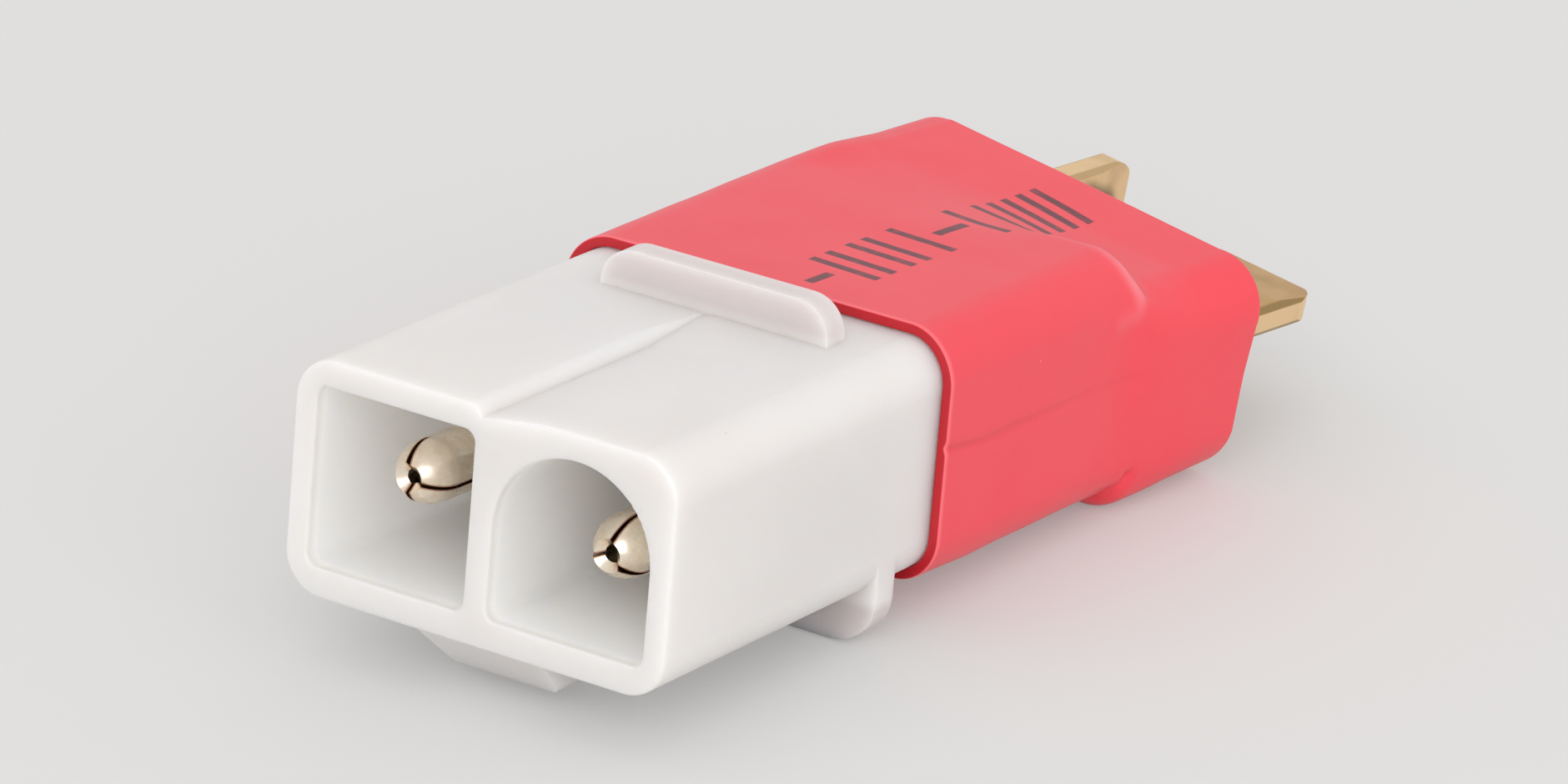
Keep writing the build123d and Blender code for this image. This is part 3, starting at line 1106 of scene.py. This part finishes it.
    def detail(self, points: Array, outward: Array, rows: Array) -> dict[str, Array]:
        """Adds emboss, fold groove, dent, nick, waviness, swell, sag and the rim's slant, with marks that
        paint shade along the fold and a highlight on the rim's rounded edge.

        A ridge or groove is a bell curve of the distance to its line, times its height. The
        waviness is a sum of long sine waves along and round the film. The slant brings the
        right side of the rim forward, and fades out behind it.

        Args:
            points: Grid of points, changed in place.
            outward: Grid of outward directions.
            rows: The stations.

        Returns:
            Marks for the material, by name.
        """
        skin = np.ceil(rows[:, 7])[:, None]
        away, place = self.near_line(points, self.emboss_line)
        ridge = bell(away, self.emboss_width) * ramp(place, *self.emboss_start)
        fold_away, fold_place = self.near_line(points, self.fold_line)
        fold_and_shade = bell(fold_away, self.fold_width) * (1 - fold_place) ** self.fold_fade
        dent = bell(self.near_line(points, self.dent_line)[0], self.dent_width)
        nick = bell(np.linalg.norm(points - np.array(self.nick), axis=-1), self.nick_width)
        y = points[..., 1]
        wave = sum(np.sin(points @ np.array(way) + phase) for way, phase in self.waves)
        wave = self.wave_height * wave * ramp(y, self.front, self.wave_run)
        lift = self.emboss_height * ridge - self.fold_depth * fold_and_shade - self.dent_depth * dent
        lift = lift + wave + self.swelling(points, outward)
        points += outward * (lift * skin - self.nick_depth * nick)[..., None]
        slant = self.front_slant * ramp(y, self.front + self.slant_run, -self.slant_run)
        points[..., 1] -= slant * np.clip(outward[..., 0], 0, 1)
        stress = ridge * (0.15 + 0.7 * bell(place - self.stress_at, 0.25))
        at_front = (rows[:, 7] == 0) & (rows[:, 3] == 1) & (rows[:, 2] > self.gap)
        cut_end = self.gap + self.wall - self.cut_round * self.rim_rounding
        rounding = at_front & (rows[:, 2] > cut_end)
        # the edge mark is the painted highlight on the rim's rounded outer rows, at 0.6 strength
        marks = {"cut": at_front & ~rounding, "edge": 0.6 * rounding, "run": self.run_lengths(points, rows)}
        marks = {name: np.broadcast_to(row[:, None], stress.shape) for name, row in marks.items()}
        # the fold mark is painted shade along the groove, at 0.3 strength
        return {"stress": stress * skin, "fold_and_shade": 0.3 * fold_and_shade * skin, **marks}

    def run_lengths(self, points: Array, rows: Array) -> Array:
        """Length along the film of each row, measured on top beside the middle.

        It is the running sum of the distances between a column's neighbouring points,
        started at the front rim, and stands still on the inner rows.

        Args:
            points: Grid of points.
            rows: The stations.

        Returns:
            One length for each row in millimetres.
        """
        ring = points[self.run_row]
        column = int(np.argmin(np.where(ring[:, 2] < 0, np.inf, np.abs(ring[:, 0] - self.run_x))))
        steps = np.linalg.norm(np.diff(points[:, column], axis=0, prepend=points[:1, column]), axis=1)
        return self.front + np.cumsum(steps * (rows[:, 7] > 0))

    def build(self) -> None:
        """Makes the film and lets it stand for its solid."""
        points, outward, rows = self.surface()
        self.drape(points, outward, rows)
        marks = self.detail(points, outward, rows)
        faces = closed_grid(*points.shape[:2])
        piece = make_piece("shrunk_film", points.reshape(-1, 3), faces, ShrunkRed().build(), marks)
        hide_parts("shrink_sleeve")


@dataclass
class Studio:
    """Pale floor, soft light and the camera. Sizes are in metres."""

    floor_colour: Colour = (0.705, 0.7, 0.69)
    floor_shade: Colour = (0.695, 0.69, 0.68)
    backdrop: Colour = (0.765, 0.755, 0.745)
    floor_size: float = 6.0
    world_level: float = 0.92
    boxes: tuple[tuple[str, Place, float, float], ...] = (
        ("front_box", (0.29, -0.54, 0.26), 0.45, 2.6),
        ("side_box", (0.6, -0.12, 0.2), 0.5, 0.6),
    )
    shadow_lift: float = 0.3
    front_end: float = 0.016
    foot_play: float = 1e-5
    foot_run: float = 0.002
    floor_gap: float = 2e-5
    aim: Place = (0.0, 0.018, 0.0)
    eye: Place = (0.155976, -0.238908, 0.106604)
    eye_right: Place = (0.83717, 0.54083, 0.08159)
    eye_back: Place = (0.48835, -0.80629, 0.33377)
    lens: float = 212.46
    sensor: float = 36.0

    def lean(self) -> tuple[float, float, float]:
        """Finds the plane the adapter rests on.

        The low flange touches it, and so does the lowest point behind: the slope is the
        least rise over run from the flange's back foot to any point behind it.

        Returns:
            The foot's Y and Z, and the slope.
        """
        cloud = np.concatenate([self.corners(piece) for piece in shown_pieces()])
        ahead = cloud[cloud[:, 1] < self.front_end]
        foot_z = ahead[:, 2].min()
        foot_y = ahead[ahead[:, 2] < foot_z + self.foot_play][:, 1].max()
        behind = cloud[cloud[:, 1] > foot_y + self.foot_run]
        slope = ((behind[:, 2] - foot_z) / (behind[:, 1] - foot_y)).min()
        return foot_y, foot_z, slope

    def corners(self, piece: bpy.types.Object) -> Array:
        """Vertices of a piece as an array."""
        count = len(piece.data.vertices)
        flat = np.empty(count * 3, dtype=np.float32)
        piece.data.vertices.foreach_get("co", flat)
        return flat.reshape(-1, 3)

    def floor(self) -> None:
        """Makes the pale floor under the adapter, leaning as it rests."""
        foot_y, foot_z, slope = self.lean()
        LOG.info("floor slope %.3f degrees", math.degrees(math.atan(slope)))
        half = self.floor_size / 2
        corners = np.array([(-half, -half), (half, -half), (half, half), (-half, half)])
        heights = foot_z + (corners[:, 1] - foot_y) * slope - self.floor_gap
        mesh = bpy.data.meshes.new("floor")
        points = np.column_stack([corners, heights])
        mesh.from_pydata(points.tolist(), [], [(0, 1, 2, 3)])
        graph = Graph("floor_paper")
        grain = graph.noise(0.02, 3.0)
        colour = graph.mix(grain, self.floor_colour, self.floor_shade)
        mesh.materials.append(self.paper(graph, colour))
        link("floor", mesh)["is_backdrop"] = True

    def seen(self, graph: Graph) -> Socket:
        """1 for what the camera sees, straight, in gloss or through something clear."""
        path = graph.node("LightPath")
        total = path.outputs["Is Camera Ray"]
        for name in ("Is Glossy Ray", "Is Transmission Ray"):
            total = graph.math("MAXIMUM", total, path.outputs[name])
        return total

    def paper(self, graph: Graph, colour: Socket) -> Material:
        """Paper whose shadows look a little lighter, as in a bright sweep.

        Args:
            graph: Material under construction.
            colour: The paper's colour.

        Returns:
            The finished material.
        """
        paper = graph.node("BsdfDiffuse", {"Color": colour}).outputs[0]
        pale = graph.node("Emission", {"Color": self.backdrop}).outputs[0]
        share = graph.times(self.seen(graph), self.shadow_lift)
        return graph.end(graph.node("MixShader", {0: share, 1: paper, 2: pale}))

    def world(self) -> None:
        """Lights the scene evenly and shows the pale backdrop to the camera and to gloss."""
        graph = Graph("studio", for_world=True)
        light = graph.node("Background", {"Color": (1, 1, 1), "Strength": self.world_level}).outputs[0]
        pale = graph.node("Background", {"Color": self.backdrop}).outputs[0]
        mixed = graph.node("MixShader", {0: self.seen(graph), 1: light, 2: pale})
        bpy.context.scene.world = graph.end(mixed)

    def softbox(self, name: str, place: Place, size: float, level: float) -> None:
        """Hangs a square softbox that looks at the adapter.

        Args:
            name: Name of the lamp.
            place: Where it hangs.
            size: Its side.
            level: Brightness of its face, 1 for white.
        """
        lamp = bpy.data.lights.new(name, "AREA")
        lamp.shape = "SQUARE"
        lamp.size = size
        lamp.energy = level * math.pi * size * size
        piece = link(name, lamp)
        piece.location = place
        piece.rotation_mode = "QUATERNION"
        piece.rotation_quaternion = (Vector(self.aim) - Vector(place)).to_track_quat("-Z", "Y")
        piece.visible_camera = False

    def camera(self) -> None:
        """Sets the camera at the photograph's viewing angle."""
        data = bpy.data.cameras.new("view")
        data.sensor_width = self.sensor
        data.lens = self.lens
        data.clip_start = 0.01
        data.clip_end = 20.0
        piece = link("view", data)
        right = Vector(self.eye_right).normalized()
        back = Vector(self.eye_back).normalized()
        up = back.cross(right)
        turn = Matrix((right, up, back)).transposed()
        piece.matrix_world = Matrix.Translation(self.eye) @ turn.to_4x4()
        bpy.context.scene.camera = piece

    def build(self) -> None:
        """Sets floor, light and camera."""
        self.floor()
        self.world()
        for box in self.boxes:
            self.softbox(*box)
        self.camera()
        view = bpy.context.scene.view_settings
        view.view_transform = "Standard"
        LOG.info("studio set")


def main() -> None:
    """Builds the adapter's looks in order."""
    logging.basicConfig(level=logging.INFO, format="%(name)s: %(message)s")
    Receptacle().build()
    Contacts().build()
    BladedPlug().build()
    ShrunkSleeve().build()
    Studio().build()


if __name__ == "__main__":
    main()
